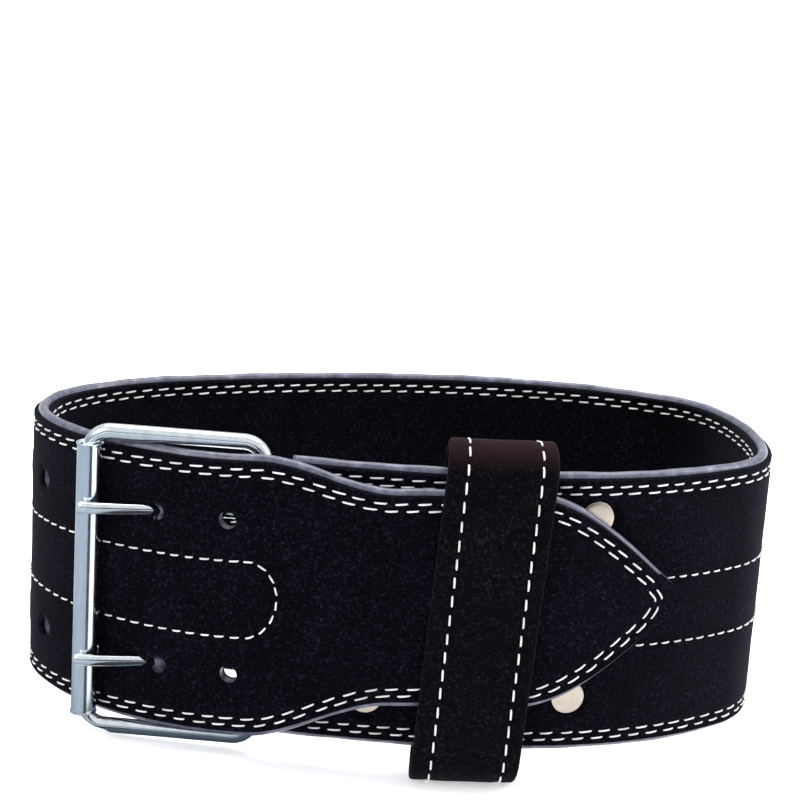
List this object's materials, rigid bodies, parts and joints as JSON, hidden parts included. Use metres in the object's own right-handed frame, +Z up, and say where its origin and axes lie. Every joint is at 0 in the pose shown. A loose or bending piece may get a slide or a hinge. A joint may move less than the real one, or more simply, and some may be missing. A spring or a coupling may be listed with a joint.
{
  "type": "weightlifting belt",
  "caption": "Wide suede weightlifting belt buckled into a closed loop, with a two-prong roller buckle, narrowed tongue and leather keeper.",
  "frame": {"origin": "on the floor, under the middle of the loop", "axes": "+Z up across the strap's width, +X to the wearer's left with the buckle facing -Y"},
  "size_m": [0.2804, 0.1788, 0.1246],
  "materials": {
    "suede": "matte nap",
    "lining_suede": "matte nap",
    "core_leather": "polished edge",
    "fold_leather": "smooth",
    "keeper_suede": "matte nap",
    "nickel_wire": "bright plated",
    "roller_zinc": "satin plated",
    "rivet_nickel": "bright plated",
    "thread": "waxed thread"
  },
  "bodies": {
    "belt": {"strap_outer_suede": "suede", "strap_core": "core_leather", "strap_lining": "lining_suede", "hinge_fold": "fold_leather", "keeper": "keeper_suede", "buckle_frame": "nickel_wire", "prong_upper": "nickel_wire", "prong_lower": "nickel_wire", "rivet_near_upper": "rivet_nickel", "rivet_near_lower": "rivet_nickel", "rivet_far_upper": "rivet_nickel", "rivet_far_lower": "rivet_nickel"},
    "roller": {"roller": "roller_zinc"}
  },
  "joints": [
    {"name": "roller_spin", "type": "hinge", "parent": "belt", "child": "roller", "pos_m": [-0.11551, -0.04804, 0.05837], "axis": [-0.0113, 0.068, 0.9976], "continuous": true}
  ]
}
